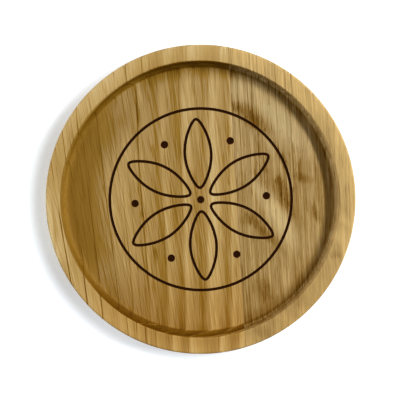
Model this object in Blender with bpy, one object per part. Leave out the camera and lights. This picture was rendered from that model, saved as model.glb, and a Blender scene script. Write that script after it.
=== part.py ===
"""A round oak drink coaster: two staves glued edge to edge and turned as one blank.

Metres, +Z up. The origin is the centre of the underside, and +Y runs along the grain and the glue line.
"""

import math

import bmesh
import bpy

# Driving dimensions of the turned disc

OUTER_DIAMETER = 0.110  # across the rim's outer edge
THICKNESS = 0.012  # from the underside to the flat top of the rim
RIM_WIDTH = 0.006  # flat ring left standing round the recess
RECESS_DEPTH = 0.0045  # from the top of the rim down to the recess floor
COVE_RADIUS = 0.0025  # hollow curve between the recess floor and its wall
RIM_OUTER_EASE = 0.0008  # rounding of the rim's outer edge
RIM_INNER_EASE = 0.0005  # rounding of the rim's edge over the recess
UNDERSIDE_EASE = 0.0008  # rounding of the edge that meets the table

# Driving dimensions of the glued joint

GLUE_OFFSET = 0.013  # from the disc's centre to the middle of the glue line
GLUE_THICKNESS = 0.00015  # cured film between the two planed edges

# Fineness of the curves

TURN_SEGMENTS = 120  # facets round the disc
COVE_SEGMENTS = 6
EASE_SEGMENTS = 4

# Points nearer than this are one, and edges sharper than this stay crisp

MERGE_DISTANCE = 1e-6
SHARP_ANGLE = math.radians(35)

# Colours are linear, from oiled oak in daylight

OAK_WIDE_COLOUR = (0.42, 0.26, 0.09, 1.0)
OAK_NARROW_COLOUR = (0.44, 0.29, 0.12, 1.0)
GLUE_COLOUR = (0.20, 0.11, 0.035, 1.0)
OAK_ROUGHNESS = 0.55
GLUE_ROUGHNESS = 0.45


def clear_scene():
    for old in list(bpy.data.objects):
        bpy.data.objects.remove(old, do_unlink=True)


def finish_material(name, colour, roughness):
    """A plain Principled finish in one colour."""
    material = bpy.data.materials.new(name)
    material.use_nodes = True
    shader = material.node_tree.nodes["Principled BSDF"]
    shader.inputs["Base Color"].default_value = colour
    shader.inputs["Roughness"].default_value = roughness
    shader.inputs["Metallic"].default_value = 0.0
    material.diffuse_color = colour
    return material


def arc(centre, radius, start_degrees, end_degrees, segments):
    """Points (radius from the axis, height) along a round stretch of the turned profile."""
    points = []
    for step in range(segments + 1):
        angle = math.radians(start_degrees + (end_degrees - start_degrees) * step / segments)
        points.append((centre[0] + radius * math.cos(angle), centre[1] + radius * math.sin(angle)))
    return points


def turned_profile():
    """Half section of the disc, from the middle of the underside round to the middle of the floor."""
    outer = OUTER_DIAMETER / 2
    wall = outer - RIM_WIDTH
    floor = THICKNESS - RECESS_DEPTH
    underside_centre = (outer - UNDERSIDE_EASE, UNDERSIDE_EASE)
    outer_centre = (outer - RIM_OUTER_EASE, THICKNESS - RIM_OUTER_EASE)
    inner_centre = (wall + RIM_INNER_EASE, THICKNESS - RIM_INNER_EASE)
    cove_centre = (wall - COVE_RADIUS, floor + COVE_RADIUS)
    profile = [(0.0, 0.0)]
    profile += arc(underside_centre, UNDERSIDE_EASE, -90, 0, EASE_SEGMENTS)
    profile += arc(outer_centre, RIM_OUTER_EASE, 0, 90, EASE_SEGMENTS)
    profile += arc(inner_centre, RIM_INNER_EASE, 90, 180, EASE_SEGMENTS)
    profile += arc(cove_centre, COVE_RADIUS, 0, -90, COVE_SEGMENTS)
    profile.append((0.0, floor))
    return profile


def turned_blank():
    """The whole disc as one closed mesh, before it is parted along the glue line."""
    blank = bmesh.new()
    points = [blank.verts.new((radius, 0.0, height)) for radius, height in turned_profile()]
    edges = [blank.edges.new(pair) for pair in zip(points, points[1:])]
    bmesh.ops.spin(
        blank,
        geom=points + edges,
        axis=(0.0, 0.0, 1.0),
        cent=(0.0, 0.0, 0.0),
        angle=math.tau,
        steps=TURN_SEGMENTS,
    )
    bmesh.ops.remove_doubles(blank, verts=blank.verts, dist=MERGE_DISTANCE)
    bmesh.ops.recalc_face_normals(blank, faces=blank.faces)
    return blank


def saw(body, x, side):
    """Cuts the body at the plane x, drops what lies beyond it on that side, and planes the cut flat."""
    cut = bmesh.ops.bisect_plane(
        body,
        geom=body.verts[:] + body.edges[:] + body.faces[:],
        dist=MERGE_DISTANCE,
        plane_co=(x, 0.0, 0.0),
        plane_no=(side, 0.0, 0.0),
        clear_outer=True,
    )
    outline = [item for item in cut["geom_cut"] if isinstance(item, bmesh.types.BMEdge)]
    for edge in outline:
        for point in edge.verts:
            point.co.x = x
    bmesh.ops.contextual_create(body, geom=outline)
    bmesh.ops.recalc_face_normals(body, faces=body.faces)


def piece(name, low_x, high_x, material, parent):
    """The part of the turned blank between two planes. None stands for the disc's own edge."""
    body = turned_blank()
    if low_x is not None:
        saw(body, low_x, -1.0)
    if high_x is not None:
        saw(body, high_x, 1.0)
    mesh = bpy.data.meshes.new(name)
    body.to_mesh(mesh)
    body.free()
    mesh.shade_smooth()
    mesh.set_sharp_from_angle(angle=SHARP_ANGLE)
    mesh.materials.append(material)
    made = bpy.data.objects.new(name, mesh)
    made.parent = parent
    bpy.context.scene.collection.objects.link(made)
    return made


clear_scene()

coaster = bpy.data.objects.new("coaster", None)
bpy.context.scene.collection.objects.link(coaster)

# The two planed edges, which the glue film fills between

wide_edge = GLUE_OFFSET - GLUE_THICKNESS / 2
narrow_edge = GLUE_OFFSET + GLUE_THICKNESS / 2

oak_wide = finish_material("oak_wide", OAK_WIDE_COLOUR, OAK_ROUGHNESS)
oak_narrow = finish_material("oak_narrow", OAK_NARROW_COLOUR, OAK_ROUGHNESS)
cured_glue = finish_material("cured_glue", GLUE_COLOUR, GLUE_ROUGHNESS)

piece("wide_stave", None, wide_edge, oak_wide, coaster)
piece("glue_line", wide_edge, narrow_edge, cured_glue, coaster)
piece("narrow_stave", narrow_edge, None, oak_narrow, coaster)
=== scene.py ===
"""Looks of a round oak drink coaster: two staves glued edge to edge, turned as one and engraved.

Metres, +Z up. The origin is the centre of the underside, and +Y runs along the grain and the glue line.
The materials count in millimetres, and a tone of 0 to 1 stands for deep brown to pale wood.
"""

import math

import bmesh
import bpy
from mathutils import Matrix, Vector


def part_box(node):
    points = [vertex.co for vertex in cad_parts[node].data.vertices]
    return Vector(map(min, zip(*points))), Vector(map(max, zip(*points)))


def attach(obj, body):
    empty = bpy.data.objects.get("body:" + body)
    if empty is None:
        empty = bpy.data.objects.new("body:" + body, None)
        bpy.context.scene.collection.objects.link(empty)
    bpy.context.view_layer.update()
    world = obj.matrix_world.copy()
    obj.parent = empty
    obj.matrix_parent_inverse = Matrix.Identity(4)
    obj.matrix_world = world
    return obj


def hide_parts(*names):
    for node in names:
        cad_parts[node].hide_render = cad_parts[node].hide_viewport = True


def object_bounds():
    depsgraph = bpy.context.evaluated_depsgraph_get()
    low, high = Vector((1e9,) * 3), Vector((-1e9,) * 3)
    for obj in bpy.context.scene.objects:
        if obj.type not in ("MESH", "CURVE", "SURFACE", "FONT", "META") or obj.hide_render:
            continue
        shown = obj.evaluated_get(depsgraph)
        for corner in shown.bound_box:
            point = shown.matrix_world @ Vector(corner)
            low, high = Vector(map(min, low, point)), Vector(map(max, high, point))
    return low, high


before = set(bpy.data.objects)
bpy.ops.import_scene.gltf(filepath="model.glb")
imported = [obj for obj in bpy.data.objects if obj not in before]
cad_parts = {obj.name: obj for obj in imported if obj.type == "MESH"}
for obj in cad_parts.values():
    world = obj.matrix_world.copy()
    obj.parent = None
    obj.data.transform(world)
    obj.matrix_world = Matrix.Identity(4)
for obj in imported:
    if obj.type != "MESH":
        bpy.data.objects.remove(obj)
cad_low, cad_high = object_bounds()

# Wide stave
# The broad left board of the glued blank: oiled oak, sawn on the rift, so its pores run as long thin lines.
# It is planed on its right edge, glued, and turned with its neighbour into a rim and a coved recess.

OUTER_RADIUS = (cad_high.x - cad_low.x) / 2
THICKNESS = cad_high.z - cad_low.z
RIM_WIDTH = 0.006  # flat ring left standing round the recess
RECESS_DEPTH = 0.0045  # from the top of the rim down to the recess floor
COVE_RADIUS = 0.0025  # hollow curve between the recess floor and its wall
RIM_OUTER_EASE = 0.0008  # rounding of the rim's outer edge
RIM_INNER_EASE = 0.0005  # rounding of the rim's edge over the recess
UNDERSIDE_EASE = 0.0008  # rounding of the edge that meets the table
EASE_STEPS = 6
COVE_STEPS = 14
FLAT_MARGIN = 0.0002  # a support ring this far from each curve keeps the flats flat in the light
STEPS_ROUND = 288
SAW_SPAN = 3.0  # the block that the saw leaves is this many radii long and high
SAW_CLEARANCE = 0.0002  # where nothing is sawn off, the plane stays this far clear of the disc
MERGE_DISTANCE = 2e-6  # points nearer than this are one
WALL_RADIUS = OUTER_RADIUS - RIM_WIDTH
FLOOR_HEIGHT = THICKNESS - RECESS_DEPTH
MM = 1000.0
MIX_SHARE, MIX_FIRST, MIX_SECOND, MIX_RESULT = 0, 6, 7, 2  # the Mix node's sockets for colours
SEED_WAY = (1.0, 0.7, -1.0)  # which way a seed moves a noise
HAIR_CORE = 0.25  # share of a hair's width over which it is full


def give(tree, socket, value):
    """Links a socket to an input, or sets a plain value on it."""
    if isinstance(value, bpy.types.NodeSocket):
        tree.links.new(value, socket)
    else:
        socket.default_value = value


def add(tree, kind, inputs=None, **settings):
    """A new node with its settings, its inputs linked or set by name or number."""
    made = tree.nodes.new(kind)
    for name, value in settings.items():
        setattr(made, name, value)
    for key, value in (inputs or {}).items():
        give(tree, made.inputs[key], value)
    return made


def maths(tree, operation, *values):
    """One step of arithmetic on numbers or sockets."""
    made = add(tree, "ShaderNodeMath", dict(enumerate(values)), operation=operation)
    return made.outputs[0]


def point(tree, x=0.0, y=0.0, z=0.0):
    """A vector put together from numbers or sockets."""
    return add(tree, "ShaderNodeCombineXYZ", {"X": x, "Y": y, "Z": z}).outputs[0]


def moved(tree, geometry, by):
    """The geometry moved by a vector."""
    return add(tree, "GeometryNodeTransform", {"Geometry": geometry, "Translation": by}).outputs[0]


def new_tree(name, inputs, output):
    """An empty geometry tree with its inputs, listed by kind, and one geometry output."""
    tree = bpy.data.node_groups.new(name, "GeometryNodeTree")
    for kind, labels in inputs.items():
        for label in labels:
            tree.interface.new_socket(label, in_out="INPUT", socket_type="NodeSocket" + kind)
    tree.interface.new_socket(output, in_out="OUTPUT", socket_type="NodeSocketGeometry")
    return tree


def arc(centre, radius, start_degrees, end_degrees, steps):
    """Points (distance from the axis, height) along a round stretch of the turned profile."""
    points = []
    for step in range(steps + 1):
        angle = math.radians(start_degrees + (end_degrees - start_degrees) * step / steps)
        points.append((centre[0] + radius * math.cos(angle), centre[1] + radius * math.sin(angle)))
    return points


def half_section():
    """A polyline mesh of the turned profile, from the middle of the underside to the middle of the floor."""
    under = (OUTER_RADIUS - UNDERSIDE_EASE, UNDERSIDE_EASE)
    outer = (OUTER_RADIUS - RIM_OUTER_EASE, THICKNESS - RIM_OUTER_EASE)
    inner = (WALL_RADIUS + RIM_INNER_EASE, THICKNESS - RIM_INNER_EASE)
    cove = (WALL_RADIUS - COVE_RADIUS, FLOOR_HEIGHT + COVE_RADIUS)
    profile = [(0.0, 0.0), (under[0] - FLAT_MARGIN, 0.0)]
    profile += arc(under, UNDERSIDE_EASE, -90, 0, EASE_STEPS)
    profile += [(OUTER_RADIUS, under[1] + FLAT_MARGIN), (OUTER_RADIUS, outer[1] - FLAT_MARGIN)]
    profile += arc(outer, RIM_OUTER_EASE, 0, 90, EASE_STEPS)
    profile += [(outer[0] - FLAT_MARGIN, THICKNESS), (inner[0] + FLAT_MARGIN, THICKNESS)]
    profile += arc(inner, RIM_INNER_EASE, 90, 180, EASE_STEPS)
    profile += [(WALL_RADIUS, inner[1] - FLAT_MARGIN), (WALL_RADIUS, cove[1] + FLAT_MARGIN)]
    profile += arc(cove, COVE_RADIUS, 0, -90, COVE_STEPS)
    profile += [(cove[0] - FLAT_MARGIN, FLOOR_HEIGHT), (0.0, FLOOR_HEIGHT)]
    mesh = bpy.data.meshes.new("half_section")
    points = [(radius, height, 0.0) for radius, height in profile]
    mesh.from_pydata(points, [(step, step + 1) for step in range(len(points) - 1)], [])
    return mesh


def lathe_tree():
    """Turns a half section into a disc and keeps what lies between two saw planes across X."""
    tree = new_tree("lathe_and_saw", {
        "Geometry": ["Half section"],
        "Int": ["Steps round"],
        "Float": ["Outer radius", "Low plane", "High plane"],
        "Material": ["Finish"],
    }, "Piece")
    given = add(tree, "NodeGroupInput").outputs

    line = add(tree, "GeometryNodeMeshToCurve", {"Mesh": given["Half section"]}).outputs["Curve"]
    line = moved(tree, line, point(tree, x=maths(tree, "MULTIPLY", given["Outer radius"], -1.0)))
    line = add(tree, "GeometryNodeTransform", {"Geometry": line, "Scale": (1.0, -1.0, 1.0)}).outputs[0]
    circle = add(tree, "GeometryNodeCurvePrimitiveCircle", {
        "Resolution": given["Steps round"], "Radius": given["Outer radius"]})
    turned = add(tree, "GeometryNodeCurveToMesh", {
        "Curve": circle.outputs["Curve"], "Profile Curve": line})
    closed = add(tree, "GeometryNodeMergeByDistance", {
        "Geometry": turned.outputs["Mesh"], "Distance": MERGE_DISTANCE})

    width = maths(tree, "SUBTRACT", given["High plane"], given["Low plane"])
    middle = maths(tree, "MULTIPLY", maths(tree, "ADD", given["High plane"], given["Low plane"]), 0.5)
    span = maths(tree, "MULTIPLY", given["Outer radius"], SAW_SPAN)
    block = add(tree, "GeometryNodeMeshCube", {"Size": point(tree, width, span, span)}).outputs["Mesh"]
    parted = add(tree, "GeometryNodeMeshBoolean", operation="INTERSECT", solver="EXACT")
    tree.links.new(closed.outputs["Geometry"], parted.inputs[1])
    tree.links.new(moved(tree, block, point(tree, x=middle)), parted.inputs[1])
    real = add(tree, "GeometryNodeRealizeInstances", {"Geometry": parted.outputs["Mesh"]})
    finished = add(tree, "GeometryNodeSetMaterial", {
        "Geometry": real.outputs["Geometry"], "Material": given["Finish"]})
    add(tree, "NodeGroupOutput", {"Piece": finished.outputs["Geometry"]})
    return tree


def grow(tree, name, mesh, values):
    """Runs a geometry tree once on a mesh and gives the result as a plain object with no modifier."""
    made = bpy.data.objects.new(name, mesh)
    bpy.context.scene.collection.objects.link(made)
    modifier = made.modifiers.new("tree", "NODES")
    modifier.node_group = tree
    for item in tree.interface.items_tree:
        if item.in_out == "INPUT" and item.name in values:
            modifier[item.identifier] = values[item.name]
    graph = bpy.context.evaluated_depsgraph_get()
    plain = bpy.data.meshes.new_from_object(made.evaluated_get(graph))
    made.modifiers.clear()
    made.data = plain
    plain.name = name
    return made


def turned_piece(name, low_plane, high_plane, finish):
    """The part of the turned disc between two saw planes."""
    return grow(lathe, name, half_section(), {
        "Steps round": STEPS_ROUND,
        "Outer radius": OUTER_RADIUS,
        "Low plane": low_plane,
        "High plane": high_plane,
        "Finish": finish,
    })


def new_finish(name):
    """An empty material, its tree and its Principled shader."""
    material = bpy.data.materials.new(name)
    material.use_nodes = True
    tree = material.node_tree
    return material, tree, tree.nodes["Principled BSDF"]


def axes(tree, vector):
    """The X, Y and Z of a vector."""
    return add(tree, "ShaderNodeSeparateXYZ", {0: vector}).outputs


def millimetres(tree):
    """Where a point of the piece lies, in millimetres."""
    place = add(tree, "ShaderNodeTexCoord").outputs["Object"]
    return add(tree, "ShaderNodeVectorMath", {0: place, "Scale": MM}, operation="SCALE").outputs[0]


def facing(tree):
    """How squarely a face looks across the board, along it and upward, each from 0 to 1."""
    normal = add(tree, "ShaderNodeTexCoord").outputs["Normal"]
    return axes(tree, add(tree, "ShaderNodeVectorMath", {0: normal}, operation="ABSOLUTE").outputs[0])


def distance(tree, x, y, centre=(0.0, 0.0)):
    """How far a point lies from the upright line through a centre."""
    across = maths(tree, "SUBTRACT", x, centre[0])
    along = maths(tree, "SUBTRACT", y, centre[1])
    squares = maths(tree, "MULTIPLY_ADD", across, across, maths(tree, "MULTIPLY", along, along))
    return maths(tree, "SQRT", squares)


def rise(tree, value, low, high, start=0.0, end=1.0):
    """A smooth step: start below low, end above high."""
    step = add(tree, "ShaderNodeMapRange", {
        "Value": value, "From Min": low, "From Max": high, "To Min": start, "To Max": end},
        interpolation_type="SMOOTHSTEP")
    return step.outputs[0]


def fade(tree, share, start, end):
    """Goes smoothly from start, where a share is 0, to end, where it is 1."""
    return rise(tree, share, 0.0, 1.0, start, end)


def product(tree, first, *others):
    """Several shares multiplied together."""
    for other in others:
        first = maths(tree, "MULTIPLY", first, other)
    return first


def lift(tree, tone, share, amount):
    """Adds a share of an amount to the tone of the wood."""
    return maths(tree, "MULTIPLY_ADD", share, amount, tone)


def layered(tree, tone, *changes):
    """Adds each (share, amount) change to the tone of the wood."""
    for share, amount in changes:
        tone = lift(tree, tone, share, amount)
    return tone


def streaks(tree, grain, size, seed, detail):
    """Noise from 0 to 1 whose patches have the given width, length and height in millimetres."""
    scaled = add(tree, "ShaderNodeVectorMath", {0: grain, 1: size}, operation="DIVIDE").outputs[0]
    offset = tuple(seed * share for share in SEED_WAY)
    shifted = add(tree, "ShaderNodeVectorMath", {0: scaled, 1: offset}).outputs[0]
    noise = add(tree, "ShaderNodeTexNoise", {"Vector": shifted, "Scale": 1.0, "Detail": detail})
    return noise.outputs[0]


def swing(tree, noise):
    """Noise centred on nothing, so that it lightens as much as it darkens."""
    return maths(tree, "SUBTRACT", noise, 0.5)


def off_middle(tree, value):
    """How far the fraction of a value lies from a half, so that it is 0 once in each whole step."""
    return maths(tree, "ABSOLUTE", swing(tree, maths(tree, "FRACT", value)))


def patches(tree, grain, noise, cut):
    """The spots of a streaky noise that stand above a cut, with soft edges."""
    return rise(tree, streaks(tree, grain, *noise), *cut)


def broken_hairs(tree, grain, flat, noise, width, breaks):
    """Fine lines on the flat faces, drawn where streaky noise passes its middle value, and broken up."""
    off_line = maths(tree, "ABSOLUTE", swing(tree, streaks(tree, grain, *noise)))
    drawn = rise(tree, off_line, width * HAIR_CORE, width, 1.0, 0.0)
    return product(tree, drawn, patches(tree, grain, *breaks), flat)


def ramp(tree, value, stops):
    """A colour ramp through (place, colour) stops, where a plain number stands for a grey."""
    made = add(tree, "ShaderNodeValToRGB", {0: value})
    elements = made.color_ramp.elements
    elements[0].position = stops[0][0]
    elements[1].position = stops[-1][0]
    for position, _ in stops[1:-1]:
        elements.new(position)
    for element, (_, colour) in zip(elements, stops):
        element.color = colour if isinstance(colour, tuple) else (colour, colour, colour, 1.0)
    return made.outputs[0]


def tinted(tree, colour, share, tint):
    """Multiplies a share of a colour by a tint."""
    sockets = {MIX_SHARE: share, MIX_FIRST: colour, MIX_SECOND: tint}
    mixed = add(tree, "ShaderNodeMix", sockets, data_type="RGBA", blend_type="MULTIPLY")
    return mixed.outputs[MIX_RESULT]


# Tones that turning, sanding and oiling give both boards, and painted shade and sheen in the recess
# A fade is (low, high) or (low, high, start, end), as rise takes it.

OIL_CENTRE = (-0.5, 0.32)  # the rim was sanded a little off centre after the recess was oiled
OIL_EDGE = (0.05, 0.45)  # the oil ends over this stretch past the recess wall
TONE_PER_MM = 0.0003  # the boards pale a little along their length
NEAR_FADE = (-42.0, -12.0, 1.0, 0.0)  # along the boards
NEAR_TONE = -0.038
RIM_PALING = 0.04  # the rim pales this much either way, from its inner edge to its outer
RIM_MARGIN = 0.5  # the paling starts and ends this far inside the rim's edges
WALL_SHADE_LOBES = (  # painted shade along the left wall of the recess: towards in degrees, where the shade starts and is full as a cosine off that, share
    (170.0, 0.56, 0.95, 1.0),
    (218.0, 0.90, 0.98, 0.35),
)
WALL_SHADE_SPREAD = (31.0, 42.0)  # distance from the axis
WALL_SHADE_TONE = -0.25
FAR_ROUND = (0.90, 0.985)  # painted shade on the floor near the far wall, from this sine of the way round
FAR_SPREAD = (41.5, 48.0)
FAR_EDGE = (47.0, 48.5, 1.0, 0.4)
FAR_WALL_SHADE_TONE = -0.24
CORNER_STEPS = ((43.0, 46.2), (46.2, 47.2))  # painted shadow at the foot of the wall, deepening in two steps towards it
CORNER_EDGE = (47.3, 48.05, 1.0, 0.0)
END_GRAIN_FADE = (0.4, 1.0)  # how squarely a face looks along the board
END_GRAIN_TONE = -0.10
END_WALL_FADE = (0.12, 0.45)
END_WALL_NEAR = (-0.95, -0.15, 1.0, 0.30)  # sine of the way round
END_WALL_FAR = (0.50, 0.95, 0.35, 1.0)
AMBER = (0.97, 0.87, 0.70, 1.0)
AMBER_SPAN = (-47.0, -17.0)
# a painted grey-blue sheen over the far side of the recess
RECESS_SHEEN_TINT = (1.0, 1.03, 1.11, 1.0)
RECESS_SHEEN_FADE = (-6.0, 24.0)
OIL_SHINE = 0.05
PORE_ROUGHNESS = 0.75
GRAIN_STRENGTH = 0.5
GRAIN_DEPTH = 0.00008
FLAT_FADE = (0.25, 0.75)  # how squarely a face looks up
CUT_END_FADE = (0.45, 0.90)


def recess_share(tree, x, y, z):
    """1 in the oiled recess, and 0 on the sanded rim, the outer wall and the underside."""
    wall = WALL_RADIUS * MM
    start, end = OIL_EDGE
    inside = rise(tree, distance(tree, x, y, OIL_CENTRE), wall + start, wall + end, 1.0, 0.0)
    above = maths(tree, "GREATER_THAN", z, FLOOR_HEIGHT * MM / 2)
    return product(tree, inside, above)


def painted_wall_shade(tree, x, y, radius):
    """How much painted shade darkens the recess floor near its wall, most of it along the left wall."""
    wall_shade_share = 0.0
    for towards, start, full, share in WALL_SHADE_LOBES:
        outward = maths(tree, "MULTIPLY", x, math.cos(math.radians(towards)))
        outward = maths(tree, "MULTIPLY_ADD", y, math.sin(math.radians(towards)), outward)
        lobe_shade = rise(tree, maths(tree, "DIVIDE", outward, radius), start, full, 0.0, share)
        wall_shade_share = maths(tree, "MAXIMUM", wall_shade_share, lobe_shade)
    return product(tree, wall_shade_share, rise(tree, radius, *WALL_SHADE_SPREAD))


def turned_tone(tree, x, y, z, end_on, floor_drop, corner_shade_drop):
    """How turning and oiling change the tone of a board, with shade painted near the recess walls.

    Gives the change, and the shares of recess, painted shade along the left wall and end-grain wall.
    """
    radius = distance(tree, x, y)
    way_round = maths(tree, "DIVIDE", y, radius)
    recess = recess_share(tree, x, y, z)
    bare = maths(tree, "SUBTRACT", 1.0, recess)
    wall_shade_share = product(tree, recess, painted_wall_shade(tree, x, y, radius))
    rim_start = WALL_RADIUS * MM + RIM_MARGIN
    rim_end = OUTER_RADIUS * MM - RIM_MARGIN
    rim_paling = rise(tree, radius, rim_start, rim_end, -RIM_PALING, RIM_PALING)
    far_wall_shade = product(tree, rise(tree, way_round, *FAR_ROUND), rise(tree, radius, *FAR_SPREAD))
    far_wall_shade = product(tree, far_wall_shade, rise(tree, radius, *FAR_EDGE))
    first_step, second_step = CORNER_STEPS
    corner = maths(tree, "ADD", rise(tree, radius, *first_step), rise(tree, radius, *second_step))
    corner = product(tree, corner, rise(tree, radius, *CORNER_EDGE))
    # Painted shade darkens the recess floor along the left wall, near the far wall and at the foot of the
    # wall.
    tone = layered(
        tree, maths(tree, "MULTIPLY", y, TONE_PER_MM),
        (recess, -floor_drop),
        (rise(tree, y, *NEAR_FADE), NEAR_TONE),
        (bare, rim_paling),
        (wall_shade_share, WALL_SHADE_TONE),
        (product(tree, far_wall_shade, recess), FAR_WALL_SHADE_TONE),
        (product(tree, corner, recess), -corner_shade_drop),
        (rise(tree, end_on, *END_GRAIN_FADE), END_GRAIN_TONE))
    at_end = maths(
        tree, "MAXIMUM", rise(tree, way_round, *END_WALL_NEAR), rise(tree, way_round, *END_WALL_FAR))
    end_wall = product(tree, rise(tree, end_on, *END_WALL_FADE), at_end, recess)
    return tone, recess, wall_shade_share, end_wall


def aged(tree, colour, recess, y, warmth):
    """Warms the near end, where the wood is deepest in colour, and paints a grey-blue sheen over the far
    side of the recess."""
    near, middle = AMBER_SPAN
    warm = tinted(tree, colour, rise(tree, y, near, middle, warmth, 0.0), AMBER)
    return tinted(tree, warm, product(tree, recess, rise(tree, y, *RECESS_SHEEN_FADE)), RECESS_SHEEN_TINT)


def emboss(tree, shader, height, strength, depth):
    """Lets the light see the surface raised and sunk by a height."""
    bump = add(tree, "ShaderNodeBump", {"Strength": strength, "Distance": depth, "Height": height})
    give(tree, shader.inputs["Normal"], bump.outputs[0])


def oiled_surface(tree, shader, colour, hollow, roughness, fibres, fibre_height):
    """A dull oiled finish: open pores are rougher and sunk, and the fibres stand a little proud."""
    give(tree, shader.inputs["Base Color"], colour)
    shader.inputs["Specular IOR Level"].default_value = OIL_SHINE
    give(tree, shader.inputs["Roughness"], fade(tree, hollow, roughness, PORE_ROUGHNESS))
    relief = lift(tree, maths(tree, "MULTIPLY", hollow, -1.0), fibres, fibre_height)
    emboss(tree, shader, relief, GRAIN_STRENGTH, GRAIN_DEPTH)


# Figure of the rift-sawn board
# A noise is the (width, length, height) of its patches, a seed and its detail. A pattern is a noise and
# the cut that it stands above. Hairs are a noise, a width and the pattern that breaks them up.

OAK_TONES = (
    (0.00, (0.076, 0.027, 0.0002, 1.0)),
    (0.25, (0.168, 0.077, 0.0030, 1.0)),
    (0.50, (0.315, 0.169, 0.0230, 1.0)),
    (0.58, (0.372, 0.225, 0.0680, 1.0)),
    (0.75, (0.495, 0.315, 0.1020, 1.0)),
    (1.00, (0.700, 0.530, 0.2500, 1.0)),
)
RIFT_BASE = 0.795
RIFT_FLOOR_DROP = 0.13
RIFT_END_DROP = 0.37
# painted shadow at the foot of the recess wall
RIFT_CORNER_SHADE = 0.03
RIFT_WARMTH = 1.0
RIFT_ROUGHNESS = 0.52
RIFT_FIBRE_HEIGHT = 0.5

RIFT_WANDER_NOISE = ((24.0, 60.0, 24.0), 3.1, 1.0)
RIFT_WANDER = 3.0
LEAN_SPAN = (-50.0, 0.0)  # across the board
LEANS = (0.09, -0.06)  # how far the fibres move aside for each millimetre along, at either end of that
FIBRE_SLANT = 0.13

PITH = (58.0, 196.5)  # across the board, and over the recess floor
RING_WIDTH = 2.5
RING_START = 204.06  # one growth ring begins this far from the pith
RING_STEEP = (-38.0, -16.0)  # the rings stand upright left of this and slant right of it
RING_DRIFT_NOISE = ((9.0, 120.0, 9.0), 7.9, 1.0)
RING_DRIFT = 0.5
RING_SHIFTS = (  # a stretch across the board, and the share of a ring that good and lean years add there
    ((-16.0, -6.0), -0.17),
    ((-4.0, 5.0), 0.28),
    ((5.0, 12.0), -0.33),
)
RING_SHADES = (  # place in the ring, shade
    (0.0, 0.75), (0.08, 0.35), (0.25, 0.0), (0.50, 0.35), (0.75, 0.80), (0.92, 1.0), (1.0, 0.75))
RIFT_RAYS = ((0.30, 18.0, 14.0), 8.9, 1.0), (0.56, 0.66)

PORE_LINE_PLACE = 0.08  # where in the ring its row of large pores lies
LINE_WOBBLE_NOISE = ((0.8, 24.0, 0.8), 8.3, 2.0)
LINE_WOBBLES = (0.05, 0.16)  # on a cut wall and on a flat face
LINE_EDGE = (0.012, 0.050, 1.0, 0.0)
LINE_BREAKS = ((2.6, 30.0, 2.6), 5.7, 1.0), (0.40, 0.54)
LINE_ON_SIDE = (0.78, 0.95, 1.0, 0.1)  # how squarely a face looks across the board
WALL_ON_SIDE = (0.80, 0.97, 1.0, 0.0)
LINE_ON_WALL = 0.4

RIFT_PORES = ((0.24, 10.0, 0.24), 1.9, 1.0), (0.58, 0.70)
LONG_BREAKS = ((2.0, 24.0, 2.0), 3.9, 1.0), (0.42, 0.56)
LONG_HAIRS = ((2.2, 90.0, 2.2), 7.3, 1.0), 0.030, LONG_BREAKS
SHORT_BREAKS = ((1.2, 12.0, 1.2), 6.9, 1.0), (0.46, 0.60)
SHORT_HAIRS = ((1.5, 40.0, 1.5), 2.3, 1.0), 0.040, SHORT_BREAKS
FIBRE_NOISE = ((0.34, 20.0, 0.34), 6.4, 2.0)
STRAND_NOISE = ((1.7, 90.0, 1.7), 9.6, 2.0)
GLINTS = ((0.6, 22.0, 0.6), 4.8, 1.0), (0.58, 0.72)
RIFT_CLOUD_NOISE = ((9.0, 110.0, 9.0), 2.2, 1.0)
BOARD_LEFT = -55.0
BOARD_WIDTH = 68.0
BOARD_SHADES = ((0.0, 0.5), (0.41, 1.0), (0.58, 0.0), (0.76, 0.5), (0.88, 0.9), (1.0, 0.5))

# Tones of each part of the figure, where a fade goes from the left of the board to the right

SEASON_AT_NEAR_END = (-50.0, -42.0, 1.6, 1.0)  # along the board
SEASON_TONE = (-26.0, -6.0, 0.05, 0.28)
STRAND_TONE = (-26.0, -6.0, 0.09, 0.21)
RIFT_CLOUD_TONE = 0.08
RIM_CLOUD_TONE = 0.12
BOARD_TONE = 0.12
FIBRE_TONE = (-18.0, -4.0, 0.54, 0.63)
GLINT_TONE = 0.11
RIFT_PORE_TONE = -0.12
SHORT_HAIR_TONE = (-20.0, -6.0, -0.16, -0.13)
PORE_LINE_TONE = (-30.0, -10.0, -0.48, -0.10)
LONG_HAIR_TONE = (-20.0, -6.0, -0.16, -0.12)
RIFT_RAY_TONE = 0.10
FINE_TOWARDS_ENDS = (16.0, 36.0, 1.0, 0.76)  # share of the fine figure seen, from the middle to the ends
CALMED_IN_WALL_SHADE = 0.40  # share of the soft figure still seen in the painted shade along the left wall
CALM_RIFT_RIM = 0.73  # share of it seen on the sanded rim
CALM_END_WALL = 0.4  # share of it seen on the dark end grain
LINES_IN_RECESS = 0.78  # share of the pore lines and long hairs seen in the recess
LINES_IN_WALL_SHADE = 0.42  # share of those still seen in the painted shade along the left wall
FAR_RIM_FADE = (-5.0, 40.0)  # along the board
FAR_RIM_TONE = -0.02
RIM_PATCHES = (  # across, along, reach, change of tone where the sanded rim is paler or deeper
    (-51.7, -6.0, 17.0, 0.13),
    (-47.5, 20.5, 12.0, -0.06),
)
PATCH_CORE = 0.3  # share of the reach over which a patch is full

# Pale lines that part the dark end grain of the near wall

END_GAP_START = -14.6  # where one line meets the top of the wall
END_GAP_PITCH = 9.8
END_GAP_SLANT = 4.5  # how far the line moves across for each millimetre in from the wall
END_GAP_EDGE = (0.022, 0.056, 0.75, 0.0)
END_GAP_FADE = (-30.0, -20.0, 1.0, 0.0)  # along the board


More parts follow.
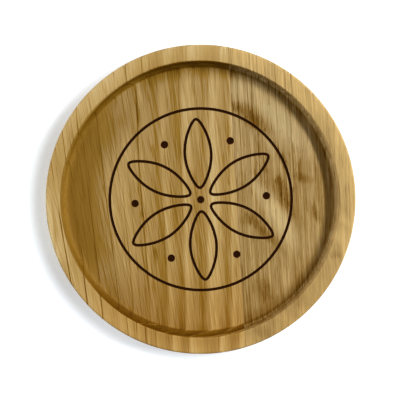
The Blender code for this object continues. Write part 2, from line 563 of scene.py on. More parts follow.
def rift_across(tree, place, x, y):
    """Place across the board, bent so that the fibres lean and wander a little."""
    wander = swing(tree, streaks(tree, place, *RIFT_WANDER_NOISE))
    lean = add(tree, "ShaderNodeMapRange", {
        "Value": x, "From Min": LEAN_SPAN[0], "From Max": LEAN_SPAN[1],
        "To Min": LEANS[0], "To Max": LEANS[1]}).outputs[0]
    return maths(tree, "MULTIPLY_ADD", y, lean, lift(tree, x, wander, RIFT_WANDER))


def growth_rings(tree, grain, across, y, z):
    """Counts the growth rings outward from the pith.

    Gives the count, a grain that follows the rays, and how far the rings slant.
    """
    slant = rise(tree, across, *RING_STEEP)
    from_pith = maths(tree, "SUBTRACT", across, PITH[0])
    over_floor = maths(tree, "SUBTRACT", z, FLOOR_HEIGHT * MM)
    over_pith = maths(tree, "SUBTRACT", product(tree, over_floor, slant), PITH[1])
    radius = distance(tree, from_pith, over_pith)
    rings = maths(tree, "DIVIDE", maths(tree, "SUBTRACT", radius, RING_START), RING_WIDTH)
    rings = lift(tree, rings, swing(tree, streaks(tree, grain, *RING_DRIFT_NOISE)), RING_DRIFT)
    for stretch, shift in RING_SHIFTS:
        rings = lift(tree, rings, rise(tree, across, *stretch), shift)
    along_ring = maths(tree, "MULTIPLY", maths(tree, "ARCTAN2", from_pith, over_pith), PITH[1])
    return rings, point(tree, along_ring, y, radius), slant


def pore_lines(tree, grain, rings, recess, flat, side_on):
    """The row of large pores that opens each ring, broken along its length and faint on the walls."""
    wobble = swing(tree, streaks(tree, grain, *LINE_WOBBLE_NOISE))
    centred = maths(tree, "ADD", rings, 0.5 - PORE_LINE_PLACE)
    wobbled = lift(tree, centred, wobble, fade(tree, flat, *LINE_WOBBLES))
    recess_wall = product(tree, recess, rise(tree, side_on, *WALL_ON_SIDE))
    open_face = maths(tree, "MAXIMUM", flat, recess_wall)
    return product(
        tree, rise(tree, off_middle(tree, wobbled), *LINE_EDGE),
        patches(tree, grain, *LINE_BREAKS),
        rise(tree, side_on, *LINE_ON_SIDE),
        fade(tree, open_face, LINE_ON_WALL, 1.0))


def end_gaps(tree, x, y, across, slant):
    """Pale slanting lines between the dark rings on the near wall."""
    inward = maths(tree, "SUBTRACT", WALL_RADIUS * MM, distance(tree, x, y))
    beside = lift(tree, maths(tree, "SUBTRACT", across, END_GAP_START), inward, -END_GAP_SLANT)
    off_line = off_middle(tree, maths(tree, "ADD", maths(tree, "DIVIDE", beside, END_GAP_PITCH), 0.5))
    return product(tree, rise(tree, off_line, *END_GAP_EDGE), slant, rise(tree, y, *END_GAP_FADE))


def rift_oak():
    """Oak with slanting growth rings, long pore lines and fine hairs, oiled in the recess."""
    material, tree, shader = new_finish("rift_sawn_oak")
    place = millimetres(tree)
    x, y, z = axes(tree, place)
    side_on, end_on, flat_on = facing(tree)
    flat = rise(tree, flat_on, *FLAT_FADE)
    turned, recess, wall_shade_share, end_wall = turned_tone(
        tree, x, y, z, end_on, RIFT_FLOOR_DROP, RIFT_CORNER_SHADE)
    bare = maths(tree, "SUBTRACT", 1.0, recess)

    across = rift_across(tree, place, x, y)
    grain = point(tree, across, y, z)
    fibre_grain = point(tree, lift(tree, across, y, FIBRE_SLANT), y, z)
    rings, ray_grain, slant = growth_rings(tree, grain, across, y, z)
    season = swing(tree, ramp(tree, maths(tree, "FRACT", rings), RING_SHADES))
    season = product(tree, season, rise(tree, y, *SEASON_AT_NEAR_END))
    pore_line = pore_lines(tree, grain, rings, recess, flat, side_on)
    rays = patches(tree, ray_grain, *RIFT_RAYS)
    pores = patches(tree, grain, *RIFT_PORES)
    long_hairs = broken_hairs(tree, grain, flat, *LONG_HAIRS)
    short_hairs = broken_hairs(tree, fibre_grain, flat, *SHORT_HAIRS)
    fibres = swing(tree, streaks(tree, fibre_grain, *FIBRE_NOISE))
    strands = swing(tree, streaks(tree, grain, *STRAND_NOISE))
    glints = patches(tree, fibre_grain, *GLINTS)
    cloud = swing(tree, streaks(tree, grain, *RIFT_CLOUD_NOISE))
    board = maths(tree, "MULTIPLY_ADD", across, 1.0 / BOARD_WIDTH, -BOARD_LEFT / BOARD_WIDTH)
    board = swing(tree, ramp(tree, board, BOARD_SHADES))

    fine = layered(
        tree, product(tree, fibres, rise(tree, across, *FIBRE_TONE)),
        (glints, GLINT_TONE),
        (pores, RIFT_PORE_TONE),
        (short_hairs, rise(tree, across, *SHORT_HAIR_TONE)))
    figure = layered(
        tree, product(tree, season, rise(tree, across, *SEASON_TONE)),
        (strands, rise(tree, across, *STRAND_TONE)),
        (cloud, RIFT_CLOUD_TONE),
        (board, BOARD_TONE),
        (fine, rise(tree, maths(tree, "ABSOLUTE", y), *FINE_TOWARDS_ENDS)))
    lines = layered(
        tree, product(tree, pore_line, rise(tree, across, *PORE_LINE_TONE)),
        (long_hairs, rise(tree, across, *LONG_HAIR_TONE)))

    gaps = end_gaps(tree, x, y, across, slant)
    end_wall = product(tree, end_wall, maths(tree, "SUBTRACT", 1.0, gaps))
    figure_seen = product(
        tree, fade(tree, wall_shade_share, 1.0, CALMED_IN_WALL_SHADE), fade(tree, recess, CALM_RIFT_RIM, 1.0),
        fade(tree, end_wall, 1.0, CALM_END_WALL))
    lines_seen = product(
        tree, fade(tree, wall_shade_share, 1.0, LINES_IN_WALL_SHADE), fade(tree, recess, 1.0, LINES_IN_RECESS))
    tone = lift(tree, maths(tree, "ADD", turned, RIFT_BASE), end_wall, -RIFT_END_DROP)
    for across_disc, along_disc, reach, change in RIM_PATCHES:
        off_patch = distance(tree, x, y, (across_disc, along_disc))
        near_patch = rise(tree, off_patch, PATCH_CORE * reach, reach, 1.0, 0.0)
        tone = lift(tree, tone, product(tree, bare, near_patch), change)
    tone = layered(
        tree, tone,
        (product(tree, bare, rise(tree, y, *FAR_RIM_FADE)), FAR_RIM_TONE),
        (product(tree, bare, cloud), RIM_CLOUD_TONE),
        (product(tree, rays, bare, rise(tree, end_on, *CUT_END_FADE)), RIFT_RAY_TONE),
        (figure, figure_seen),
        (lines, lines_seen))
    colour = aged(tree, ramp(tree, tone, OAK_TONES), recess, y, RIFT_WARMTH)
    hollow = maths(tree, "MAXIMUM", maths(tree, "MAXIMUM", pore_line, pores), long_hairs)
    oiled_surface(tree, shader, colour, hollow, RIFT_ROUGHNESS, fibres, RIFT_FIBRE_HEIGHT)
    return material


lathe = lathe_tree()
_, wide_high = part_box("wide_stave")
wide_stave = turned_piece("wide_stave_turned", -OUTER_RADIUS - SAW_CLEARANCE, wide_high.x, rift_oak())
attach(wide_stave, "root")
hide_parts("wide_stave")

# Narrow stave
# The slim right board: oak sawn on the quarter, so its fibres run straight and rays fleck the face.
# Its left edge is planed and glued to the wide stave before both are turned.

QUARTER_TONES = (
    (0.00, (0.076, 0.030, 0.0005, 1.0)),
    (0.25, (0.168, 0.074, 0.0050, 1.0)),
    (0.50, (0.310, 0.182, 0.0480, 1.0)),
    (0.58, (0.366, 0.232, 0.0820, 1.0)),
    (0.75, (0.495, 0.328, 0.1200, 1.0)),
    (1.00, (0.700, 0.470, 0.1800, 1.0)),
)
QUARTER_BASE = 0.80
QUARTER_FLOOR_DROP = 0.222
QUARTER_END_DROP = 0.10
# painted shadow at the foot of the recess wall
QUARTER_CORNER_SHADE = 0.13
QUARTER_WARMTH = 0.4
QUARTER_ROUGHNESS = 0.50
QUARTER_FIBRE_HEIGHT = 0.6

QUARTER_WANDER_NOISE = ((30.0, 60.0, 30.0), 4.4, 1.0)
QUARTER_WANDER = 0.8
LINE_NOISE = ((0.45, 26.0, 0.9), 7.7, 3.0)
DARK_BREAKS = ((0.9, 7.0, 3.0), 4.1, 1.0), (0.42, 0.58)
DARK_LINES = ((1.3, 34.0, 6.0), 1.7, 1.0), 0.055, DARK_BREAKS
PALE_LINES = ((0.50, 12.0, 0.9), 8.8, 1.0), (0.55, 0.68)
GROOVES = ((0.42, 120.0, 1.2), 3.3, 1.0), (0.60, 0.67)
BAND_NOISE = ((1.5, 45.0, 6.0), 3.6, 1.0)
BAND_ON_SIDE = (0.60, 0.95, 1.0, 0.3)  # how squarely a face looks across the board
QUARTER_RAYS = ((11.0, 18.0, 0.28), 4.7, 1.0), (0.56, 0.66)
RING_ROWS = ((0.55, 60.0, 18.0), 2.6, 1.0), (0.54, 0.64)
QUARTER_PORES = ((0.24, 3.5, 0.30), 2.9, 1.0), (0.60, 0.72)
QUARTER_CLOUD_NOISE = ((7.0, 14.0, 7.0), 1.3, 1.0)
SPECKS = ((0.20, 1.6, 0.30), 5.5, 1.0), (0.57, 0.68)
SPECK_FADE = (-0.16, -0.02, 1.0, 0.0)  # specks lie only in the dark flecks

# Tones of each part of the figure, where a fade goes from the near end of the board to the far end

LINE_TONE = (-25.0, 15.0, 0.60, 0.76)
LINE_TONE_FAR = (24.0, 40.0, 0.0, 0.35)
DARK_LINE_TONE = (-25.0, 15.0, -0.12, -0.22)
GROOVE_TONE = (-25.0, 15.0, -0.04, -0.15)
PALE_LINE_TONE = 0.13
BAND_TONE = 0.28
QUARTER_CLOUD_TONE = 0.12
QUARTER_PORE_TONE = -0.12
SPECK_TONE = -0.26
CALM_QUARTER_RIM = 0.78  # share of the figure seen on the sanded rim
QUARTER_RIM_CLOUD = 0.24
QUARTER_RIM_FADES = (  # a stretch along the board, and the change of tone on the rim there
    ((-40.0, -8.0, 1.0, 0.0), -0.05),
    ((5.0, 36.0), 0.05),
)
QUARTER_RAY_TONE = 0.09
RING_ROW_TONE = -0.11

# Rays that the saw laid bare on the face

FLECKS = (  # across, along, turn in degrees, half length, half width, change of tone
    (13.5, 32.0, -20.0, 3.4, 2.6, -0.20),
    (18.8, 29.4, -38.0, 5.8, 3.6, -0.28),
    (23.5, 25.0, -45.0, 5.2, 2.6, -0.19),
    (29.5, 14.0, -63.0, 5.5, 1.3, -0.19),
    (29.0, 1.0, -78.0, 7.5, 3.2, -0.27),
    (31.8, -5.5, -75.0, 5.0, 1.8, -0.17),
    (36.8, 5.6, -10.0, 4.6, 2.0, -0.16),
    (17.0, -8.5, -10.0, 3.8, 2.4, -0.17),
    (22.8, -13.8, -48.0, 9.5, 1.8, -0.22),
    (40.5, -7.5, -60.0, 5.5, 2.0, -0.15),
    (21.5, -34.0, -60.0, 6.0, 3.4, -0.13),
    (15.5, 38.0, -60.0, 5.0, 3.0, 0.10),
    (30.0, 26.5, -52.0, 18.0, 5.5, 0.21),
    (26.0, 17.5, -62.0, 5.0, 1.6, 0.10),
    (26.3, -7.0, -63.0, 15.0, 3.6, 0.26),
    (20.5, 3.0, -60.0, 4.0, 2.5, 0.08),
    (34.5, -15.5, -60.0, 7.0, 3.5, 0.06),
    (22.5, -26.5, -60.0, 6.0, 3.5, 0.04),
    (47.0, -16.0, -40.0, 3.5, 2.2, 0.16),
    (50.2, -13.0, -40.0, 3.0, 1.6, -0.12),
    (46.8, -22.0, -20.0, 3.2, 1.6, -0.15),
    (51.5, -6.0, -80.0, 5.0, 3.0, -0.11),
    (50.9, 11.0, -80.0, 5.0, 3.0, -0.07),
    (38.9, 34.5, -45.0, 8.0, 3.0, 0.09),
    (34.5, -39.0, -40.0, 5.0, 3.0, -0.12),
    (27.0, -43.5, -35.0, 4.5, 2.5, 0.11),
    (20.0, -47.7, -25.0, 4.0, 2.5, -0.15),
)
FLECK_EDGE = (0.10, 1.35, 1.0, 0.0)  # distance from its middle in half lengths or half widths
RAGGED_NOISE = ((0.50, 12.0, 2.0), 9.2, 1.0)
RAGGED_REACH = 4.5  # the fibres fray the edge of a fleck by about this much
BENT_NOISE = ((8.0, 12.0, 8.0), 6.1, 1.0)
BENT_REACH = 3.0
RAY_SHEEN_TINT = (0.985, 1.06, 1.24, 1.0)  # painted sheen: a grey-blue tint on the pale rays
RAY_SHEEN_FADE = (0.0, 0.24, 0.26, 1.0)  # change of tone of the fleck
FAR_SHEEN_FADE = (26.0, 42.0, 0.0, 0.85)  # along the board, where the same painted sheen covers the far end


def flecks(tree, place, grain, x, y):
    """Slanting patches with frayed edges, paler or darker than the board round them."""
    ragged = swing(tree, streaks(tree, grain, *RAGGED_NOISE))
    bent = swing(tree, streaks(tree, place, *BENT_NOISE))
    y = layered(tree, y, (ragged, RAGGED_REACH), (bent, BENT_REACH))
    shade = 0.0
    for across, along, turn, half_length, half_width, change in FLECKS:
        aside = maths(tree, "SUBTRACT", x, across)
        ahead = maths(tree, "SUBTRACT", y, along)
        cosine = math.cos(math.radians(turn))
        sine = math.sin(math.radians(turn))
        down = maths(tree, "MULTIPLY", ahead, sine / half_length)
        down = lift(tree, down, aside, cosine / half_length)
        over = maths(tree, "MULTIPLY", ahead, cosine / half_width)
        over = lift(tree, over, aside, -sine / half_width)
        shade = lift(tree, shade, rise(tree, distance(tree, down, over), *FLECK_EDGE), change)
    return shade


def quarter_oak():
    """Oak with straight fine lines and ray flecks, oiled in the recess."""
    material, tree, shader = new_finish("quarter_sawn_oak")
    place = millimetres(tree)
    x, y, z = axes(tree, place)
    side_on, end_on, flat_on = facing(tree)
    flat = rise(tree, flat_on, *FLAT_FADE)
    turned, recess, _, end_wall = turned_tone(
        tree, x, y, z, end_on, QUARTER_FLOOR_DROP, QUARTER_CORNER_SHADE)
    bare = maths(tree, "SUBTRACT", 1.0, recess)

    wander = swing(tree, streaks(tree, place, *QUARTER_WANDER_NOISE))
    grain = point(tree, lift(tree, x, wander, QUARTER_WANDER), y, z)
    lines = swing(tree, streaks(tree, grain, *LINE_NOISE))
    dark_lines = broken_hairs(tree, grain, flat, *DARK_LINES)
    pale_lines = patches(tree, grain, *PALE_LINES)
    grooves = patches(tree, grain, *GROOVES)
    bands = swing(tree, streaks(tree, grain, *BAND_NOISE))
    bands = product(tree, bands, rise(tree, side_on, *BAND_ON_SIDE))
    rays = patches(tree, place, *QUARTER_RAYS)
    rows = patches(tree, grain, *RING_ROWS)
    pores = patches(tree, grain, *QUARTER_PORES)
    cloud = swing(tree, streaks(tree, place, *QUARTER_CLOUD_NOISE))
    fleck = flecks(tree, place, grain, x, y)
    specks = product(tree, patches(tree, grain, *SPECKS), rise(tree, fleck, *SPECK_FADE))

    contrast = maths(tree, "ADD", rise(tree, y, *LINE_TONE), rise(tree, y, *LINE_TONE_FAR))
    figure = layered(
        tree, fleck,
        (lines, contrast),
        (dark_lines, rise(tree, y, *DARK_LINE_TONE)),
        (grooves, rise(tree, y, *GROOVE_TONE)),
        (pale_lines, PALE_LINE_TONE),
        (bands, BAND_TONE),
        (cloud, QUARTER_CLOUD_TONE),
        (pores, QUARTER_PORE_TONE),
        (specks, SPECK_TONE))
    tone = lift(tree, maths(tree, "ADD", turned, QUARTER_BASE), end_wall, -QUARTER_END_DROP)
    for stretch, change in QUARTER_RIM_FADES:
        tone = lift(tree, tone, product(tree, bare, rise(tree, y, *stretch)), change)
    cut_end = product(tree, bare, rise(tree, end_on, *CUT_END_FADE))
    tone = layered(
        tree, tone,
        (figure, fade(tree, recess, CALM_QUARTER_RIM, 1.0)),
        (product(tree, bare, cloud), QUARTER_RIM_CLOUD),
        (product(tree, cut_end, rays), QUARTER_RAY_TONE),
        (product(tree, cut_end, rows), RING_ROW_TONE))
    # A painted sheen tints the pale flecks and the far end of the recess grey-blue.
    painted_sheen = maths(tree, "MAXIMUM", rise(tree, fleck, *RAY_SHEEN_FADE), rise(tree, y, *FAR_SHEEN_FADE))
    colour = tinted(tree, ramp(tree, tone, QUARTER_TONES), product(tree, painted_sheen, recess), RAY_SHEEN_TINT)
    colour = aged(tree, colour, recess, y, QUARTER_WARMTH)
    oiled_surface(tree, shader, colour, pores, QUARTER_ROUGHNESS, lines, QUARTER_FIBRE_HEIGHT)
    return material


narrow_low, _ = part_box("narrow_stave")
narrow_stave = turned_piece("narrow_stave_turned", narrow_low.x, OUTER_RADIUS + SAW_CLEARANCE, quarter_oak())
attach(narrow_stave, "root")
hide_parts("narrow_stave")

# Glue line
# The film of cured wood glue between the planed edges, squeezed thin by the clamps.
# It is turned with the wood, so it shows as one fine dark line over the rim, recess and underside.

GLUE_BROWN = (0.13, 0.065, 0.02, 1.0)
GLUE_AMBER = (0.24, 0.13, 0.04, 1.0)
STARVED_NOISE = ((1.0, 9.0, 2.0), 5.1, 2.0)
STARVED_COLOURS = ((0.4, GLUE_BROWN), (0.6, GLUE_AMBER))
STARVED_ROUGHNESS = (0.3, 0.7, 0.35, 0.55)


def cured_glue():
    """Brown glue, a little paler where the joint is starved of it."""
    material, tree, shader = new_finish("cured_wood_glue")
    starved = streaks(tree, millimetres(tree), *STARVED_NOISE)
    give(tree, shader.inputs["Base Color"], ramp(tree, starved, STARVED_COLOURS))
    give(tree, shader.inputs["Roughness"], rise(tree, starved, *STARVED_ROUGHNESS))
    return material


glue_low, glue_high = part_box("glue_line")
glue_line = turned_piece("glue_line_film", glue_low.x, glue_high.x, cured_glue())
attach(glue_line, "root")
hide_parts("glue_line")

# Engraved rosette
# A compass rosette burnt into the recess floor with a fine round tip, across both staves and the glue.
# The cut is shallow and its walls are charred, darkest at the bottom.

STROKE_WIDTH = 0.00105
STROKE_DEPTH = 0.00035
STROKE_SIDES = 20
PETALS = 6
PETAL_LENGTH = 0.0245
PETAL_WIDTH = 0.0094
PETAL_REACH = 0.0165  # from the centre to a petal's middle
PETAL_TAPER = 0.36  # 0 is an ellipse, and more draws the two ends to points
PETAL_STEPS = 96
RING_RADIUS = 0.0325
RING_STEPS = 192
DOT_RADIUS = 0.0014
DOT_REACH = 0.0235
DOT_LIFT = 0.0001  # the flattened ball that clears a dot sits this far above the floor
DOT_SIDES = 32
SHARP_ANGLE = math.radians(35)  # edges sharper than this stay crisp
CHAR_BLACK = (0.020, 0.0052, 0.0006, 1.0)
CHAR_BROWN = (0.085, 0.028, 0.006, 1.0)
CHAR_SHINE = 0.03
CHAR_ROUGHNESS = (0.3, 0.7, 0.7, 0.9)
CHAR_FULL = 0.6  # share of the stroke's depth at which the char is black
UNEVEN_NOISE = ((0.4, 3.0, 0.4), 3.3, 2.0)
UNEVEN_DEPTH = 0.15
CRUST_NOISE = ((0.15, 0.4, 0.15), 6.6, 2.0)
CRUST_STRENGTH = 0.6
CRUST_DEPTH = 0.0001


def charred_oak():
    """Dull burnt wood with a fine crust, brown at the lip of a stroke and black below."""
    material, tree, shader = new_finish("charred_oak")
    place = millimetres(tree)
    uneven = streaks(tree, place, *UNEVEN_NOISE)
    depth = maths(tree, "SUBTRACT", FLOOR_HEIGHT * MM, axes(tree, place)["Z"])
    depth = lift(tree, depth, swing(tree, uneven), UNEVEN_DEPTH)
    burnt = rise(tree, depth, 0.0, STROKE_DEPTH * MM * CHAR_FULL)
    give(tree, shader.inputs["Base Color"], ramp(tree, burnt, ((0.0, CHAR_BROWN), (1.0, CHAR_BLACK))))
    shader.inputs["Specular IOR Level"].default_value = CHAR_SHINE
    give(tree, shader.inputs["Roughness"], rise(tree, uneven, *CHAR_ROUGHNESS))
    emboss(tree, shader, streaks(tree, place, *CRUST_NOISE), CRUST_STRENGTH, CRUST_DEPTH)
    return material


def joined(tree, *parts):
    """Several geometries as one."""
    made = add(tree, "GeometryNodeJoinGeometry")
    for part in parts:
        tree.links.new(part, made.inputs[0])
    return made.outputs[0]


def petal_outline(tree, given):
    """A closed curve round a leaf shape that points outward along X."""
    unit = add(tree, "GeometryNodeCurvePrimitiveCircle", {"Resolution": PETAL_STEPS, "Radius": 1.0})
    cosine, sine, _ = axes(tree, add(tree, "GeometryNodeInputPosition").outputs[0])
    half_length = maths(tree, "MULTIPLY", given["Petal length"], 0.5)
    half_width = maths(tree, "MULTIPLY", given["Petal width"], 0.5)
    out = maths(tree, "MULTIPLY_ADD", cosine, half_length, given["Petal reach"])
    taper = maths(tree, "MULTIPLY_ADD", maths(tree, "MULTIPLY", cosine, cosine), -PETAL_TAPER, 1.0)
    side = product(tree, sine, taper, half_width)
    leaf = add(tree, "GeometryNodeSetPosition", {
        "Geometry": unit.outputs["Curve"], "Position": point(tree, out, side)})
    return leaf.outputs[0]


def flattened_ball(tree, given):
    """The shape that clears one round dot."""
    ball = add(tree, "GeometryNodeMeshUVSphere", {"Segments": DOT_SIDES, "Rings": DOT_SIDES, "Radius": 1.0})
    size = point(tree, given["Dot radius"], given["Dot radius"], given["Dot depth"])
    return add(tree, "GeometryNodeTransform", {"Geometry": ball.outputs["Mesh"], "Scale": size}).outputs[0]


def rosette_tree():
    """The solids that the burning tip clears away: petal outlines, a ring, and round dots."""
    tree = new_tree("burnt_rosette", {
        "Geometry": ["Start"],
        "Int": ["Petals"],
        "Float": [
            "Petal length", "Petal width", "Petal reach", "Ring radius", "Tip radius", "Tip height",
            "Dot reach", "Dot radius", "Dot depth", "Dot height"],
        "Material": ["Char"],
    }, "Cutter")
    given = add(tree, "NodeGroupInput").outputs
    tip = add(tree, "GeometryNodeCurvePrimitiveCircle", {
        "Resolution": STROKE_SIDES, "Radius": given["Tip radius"]}).outputs["Curve"]
    spots = add(tree, "GeometryNodePoints", {"Count": given["Petals"], "Position": (0.0, 0.0, 0.0)})
    pitch = maths(tree, "DIVIDE", math.tau, given["Petals"])
    turn = maths(tree, "MULTIPLY", add(tree, "GeometryNodeInputIndex").outputs[0], pitch)

    petal = add(tree, "GeometryNodeCurveToMesh", {
        "Curve": petal_outline(tree, given), "Profile Curve": tip})
    petals = add(tree, "GeometryNodeInstanceOnPoints", {
        "Points": spots.outputs[0], "Instance": petal.outputs[0],
        "Rotation": point(tree, z=maths(tree, "ADD", turn, math.pi / 2))})
    loop = add(tree, "GeometryNodeCurvePrimitiveCircle", {
        "Resolution": RING_STEPS, "Radius": given["Ring radius"]})
    ring = add(tree, "GeometryNodeCurveToMesh", {"Curve": loop.outputs["Curve"], "Profile Curve": tip})
    strokes = joined(tree, petals.outputs[0], ring.outputs[0])
    strokes = moved(tree, strokes, point(tree, z=given["Tip height"]))

    middle_dot = flattened_ball(tree, given)
    dots = add(tree, "GeometryNodeInstanceOnPoints", {
        "Points": spots.outputs[0],
        "Instance": moved(tree, middle_dot, point(tree, x=given["Dot reach"])),
        "Rotation": point(tree, z=turn)})
    all_dots = joined(tree, dots.outputs[0], middle_dot)
    all_dots = moved(tree, all_dots, point(tree, z=given["Dot height"]))

    real = add(tree, "GeometryNodeRealizeInstances", {"Geometry": joined(tree, strokes, all_dots)})
    charred = add(tree, "GeometryNodeSetMaterial", {"Geometry": real.outputs[0], "Material": given["Char"]})
    add(tree, "NodeGroupOutput", {"Cutter": charred.outputs[0]})
    return tree


def groove_radius(half_width, depth):
    """Radius of the round tip that leaves a groove of this half width at the surface and this depth."""
    return (half_width ** 2 + depth ** 2) / (2 * depth)


def without_slivers(mesh):
    """Merges the points that the cuts left almost touching, and drops the faces that this flattens."""
    body = bmesh.new()
    body.from_mesh(mesh)
    bmesh.ops.remove_doubles(body, verts=body.verts, dist=MERGE_DISTANCE)
    bmesh.ops.triangulate(body, faces=[face for face in body.faces if len(face.verts) > 4])
    bmesh.ops.dissolve_degenerate(body, edges=body.edges, dist=MERGE_DISTANCE)
    body.to_mesh(mesh)
    body.free()


def burn(piece, cutter):
    """Cuts the rosette out of a piece and leaves the charred finish on the cut faces."""
    cut = piece.modifiers.new("burn", "BOOLEAN")
    cut.operation = "DIFFERENCE"
    cut.solver = "EXACT"
    cut.material_mode = "TRANSFER"
    cut.object = cutter
    graph = bpy.context.evaluated_depsgraph_get()
    engraved = bpy.data.meshes.new_from_object(piece.evaluated_get(graph))
    piece.modifiers.clear()
    without_slivers(engraved)
    piece.data = engraved
    engraved.name = piece.name


tip_radius = groove_radius(STROKE_WIDTH / 2, STROKE_DEPTH)
rosette = grow(rosette_tree(), "rosette_cutter", bpy.data.meshes.new("rosette_start"), {
    "Petals": PETALS,
    "Petal length": PETAL_LENGTH,
    "Petal width": PETAL_WIDTH,
    "Petal reach": PETAL_REACH,
    "Ring radius": RING_RADIUS,
    "Tip radius": tip_radius,
    "Tip height": FLOOR_HEIGHT + tip_radius - STROKE_DEPTH,
    "Dot reach": DOT_REACH,
    "Dot radius": DOT_RADIUS,
    "Dot depth": STROKE_DEPTH + DOT_LIFT,
    "Dot height": FLOOR_HEIGHT + DOT_LIFT,
    "Char": charred_oak(),
})
for piece in (wide_stave, narrow_stave, glue_line):
    burn(piece, rosette)
    piece.data.shade_smooth()
    piece.data.set_sharp_from_angle(angle=SHARP_ANGLE)
bpy.data.objects.remove(rosette, do_unlink=True)

# Table top
# A plain pale sheet under the coaster, wide enough to fill the view from any side.
# It shows white to the camera: a glow painted on it, weakest close round the coaster's left and near edge,
# whitens the cast shadow farther out, so the shadow stays only there.

TABLE_HALF_WIDTH = 3.0
TABLE_DROP = 0.00005
SHEET_COLOUR = (0.76, 0.80, 0.85, 1.0)
SHEET_ROUGHNESS = 0.9
GLOW_COLOUR = (0.90, 0.95, 1.0, 1.0)
GLOW_LEFT = 0.315  # what the sheet shows the camera beyond its own light, in the shadow's middle
GLOW_NEAR = 0.46  # the same at the near end of the shadow
GLOW_NEAR_SPAN = (-0.052, -0.024)
GLOW_FAR = 0.16  # what it gains towards the far end, where the shadow is faint
GLOW_FAR_SPAN = (0.018, 0.050)
GLOW_AWAY = 0.54  # what it gains on the way out of the shadow
GLOW_CENTRE = (-0.0030, -0.0012)  # the shadow lies off to the left and a little to the near side
GLOW_START = 0.0004  # from this far off the edge the sheet turns white
GLOW_END = 0.0064


def in_sight(tree):
    """1 for what the camera sees straight, in a reflection or through glass, and 0 for light."""
    path = add(tree, "ShaderNodeLightPath").outputs
    seen = maths(tree, "MAXIMUM", path["Is Camera Ray"], path["Is Glossy Ray"])
    return maths(tree, "MAXIMUM", seen, path["Is Transmission Ray"])


def white_sheet():
    """A matt sheet that adds a glow of its own in the camera's sight, least in the shadow."""
    material, tree, shader = new_finish("white_sheet")
    shader.inputs["Base Color"].default_value = SHEET_COLOUR
    shader.inputs["Roughness"].default_value = SHEET_ROUGHNESS
    shader.inputs["Emission Color"].default_value = GLOW_COLOUR
    x, y, _ = axes(tree, add(tree, "ShaderNodeTexCoord").outputs["Object"])
    radius = distance(tree, x, y, GLOW_CENTRE)
    near, left = GLOW_NEAR_SPAN
    whiteness = layered(
        tree, rise(tree, y, near, left, GLOW_NEAR, GLOW_LEFT),
        (rise(tree, y, *GLOW_FAR_SPAN), GLOW_FAR),
        (rise(tree, radius, OUTER_RADIUS + GLOW_START, OUTER_RADIUS + GLOW_END), GLOW_AWAY))
    give(tree, shader.inputs["Emission Strength"], product(tree, in_sight(tree), whiteness))
    return material


sheet = bpy.data.meshes.new("table_sheet")
corners = [(-1, -1), (1, -1), (1, 1), (-1, 1)]
corners = [(across * TABLE_HALF_WIDTH, along * TABLE_HALF_WIDTH, -TABLE_DROP) for across, along in corners]
sheet.from_pydata(corners, [], [(0, 1, 2, 3)])
sheet.materials.append(white_sheet())
table_top = bpy.data.objects.new("table_top", sheet)
bpy.context.scene.collection.objects.link(table_top)

# Studio light
# A long soft box stands to the right and a little behind, a pale card returns some of its light from the
# left, and pale walls fill the rest. The walls show white to the camera and in reflections.

BOX_AZIMUTH = math.radians(15)
BOX_ELEVATION = math.radians(40.2)
BOX_DISTANCE = 1.5
BOX_SIZE = (1.0, 0.12)
BOX_POWER = 25.2
CARD_AZIMUTH = math.radians(167)
CARD_ELEVATION = math.radians(11)
CARD_DISTANCE = 0.7
CARD_SIZE = (0.6, 0.2)
CARD_POWER = 3.1
FILL_STRENGTH = 0.22
WHITE = (1.0, 1.0, 1.0, 1.0)


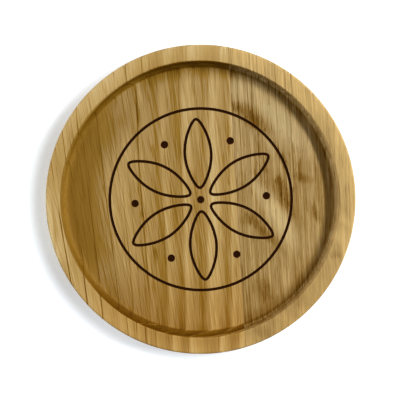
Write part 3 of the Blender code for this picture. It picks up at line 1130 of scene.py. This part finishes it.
def soft_lamp(name, azimuth, elevation, far_off, size, power):
    """An oblong lamp that faces the coaster from this direction."""
    lamp = bpy.data.lights.new(name, "AREA")
    lamp.shape = "RECTANGLE"
    lamp.size, lamp.size_y = size
    lamp.energy = power
    placed = bpy.data.objects.new(name, lamp)
    towards = Vector((
        math.cos(elevation) * math.cos(azimuth),
        math.cos(elevation) * math.sin(azimuth),
        math.sin(elevation)))
    placed.location = towards * far_off
    placed.rotation_euler = towards.to_track_quat("Z", "Y").to_euler()
    bpy.context.scene.collection.objects.link(placed)


soft_lamp("soft_box", BOX_AZIMUTH, BOX_ELEVATION, BOX_DISTANCE, BOX_SIZE, BOX_POWER)
soft_lamp("pale_card", CARD_AZIMUTH, CARD_ELEVATION, CARD_DISTANCE, CARD_SIZE, CARD_POWER)

world = bpy.data.worlds.new("pale_studio")
bpy.context.scene.world = world
world.use_nodes = True
walls = world.node_tree
wall_shader = walls.nodes["Background"]
wall_strength = maths(walls, "MULTIPLY_ADD", in_sight(walls), 1.0 - FILL_STRENGTH, FILL_STRENGTH)
give(walls, wall_shader.inputs["Strength"], wall_strength)
wall_shader.inputs["Color"].default_value = WHITE
bpy.context.scene.view_settings.view_transform = "Standard"

# Camera
# It looks almost straight down from half a metre, rolled a little so the glue line leans as photographed.

VIEW_DISTANCE = 0.5
VIEW_TILT = math.radians(3.5)
VIEW_ROLL = math.radians(3.4)
VIEW_WIDTH = 0.1417  # what the picture spans at the height of the rim
SENSOR_WIDTH = 36.0
NEAREST_SEEN = 0.01
AIM_ASIDE = -0.00023
AIM_UP = 0.00016

right = Vector((math.cos(VIEW_ROLL), -math.sin(VIEW_ROLL), 0.0))
upward = Vector((math.sin(VIEW_ROLL), math.cos(VIEW_ROLL), 0.0))
backward = upward * math.sin(VIEW_TILT) + Vector((0.0, 0.0, math.cos(VIEW_TILT)))
aim = Vector((AIM_ASIDE, AIM_UP, THICKNESS))
lens = bpy.data.cameras.new("camera")
lens.sensor_width = SENSOR_WIDTH
lens.lens = SENSOR_WIDTH * VIEW_DISTANCE / VIEW_WIDTH
lens.clip_start = NEAREST_SEEN
camera = bpy.data.objects.new("camera", lens)
turn_to_view = Matrix((right, backward.cross(right), backward)).transposed().to_4x4()
camera.matrix_world = Matrix.Translation(aim + backward * VIEW_DISTANCE) @ turn_to_view
bpy.context.scene.collection.objects.link(camera)
bpy.context.scene.camera = camera
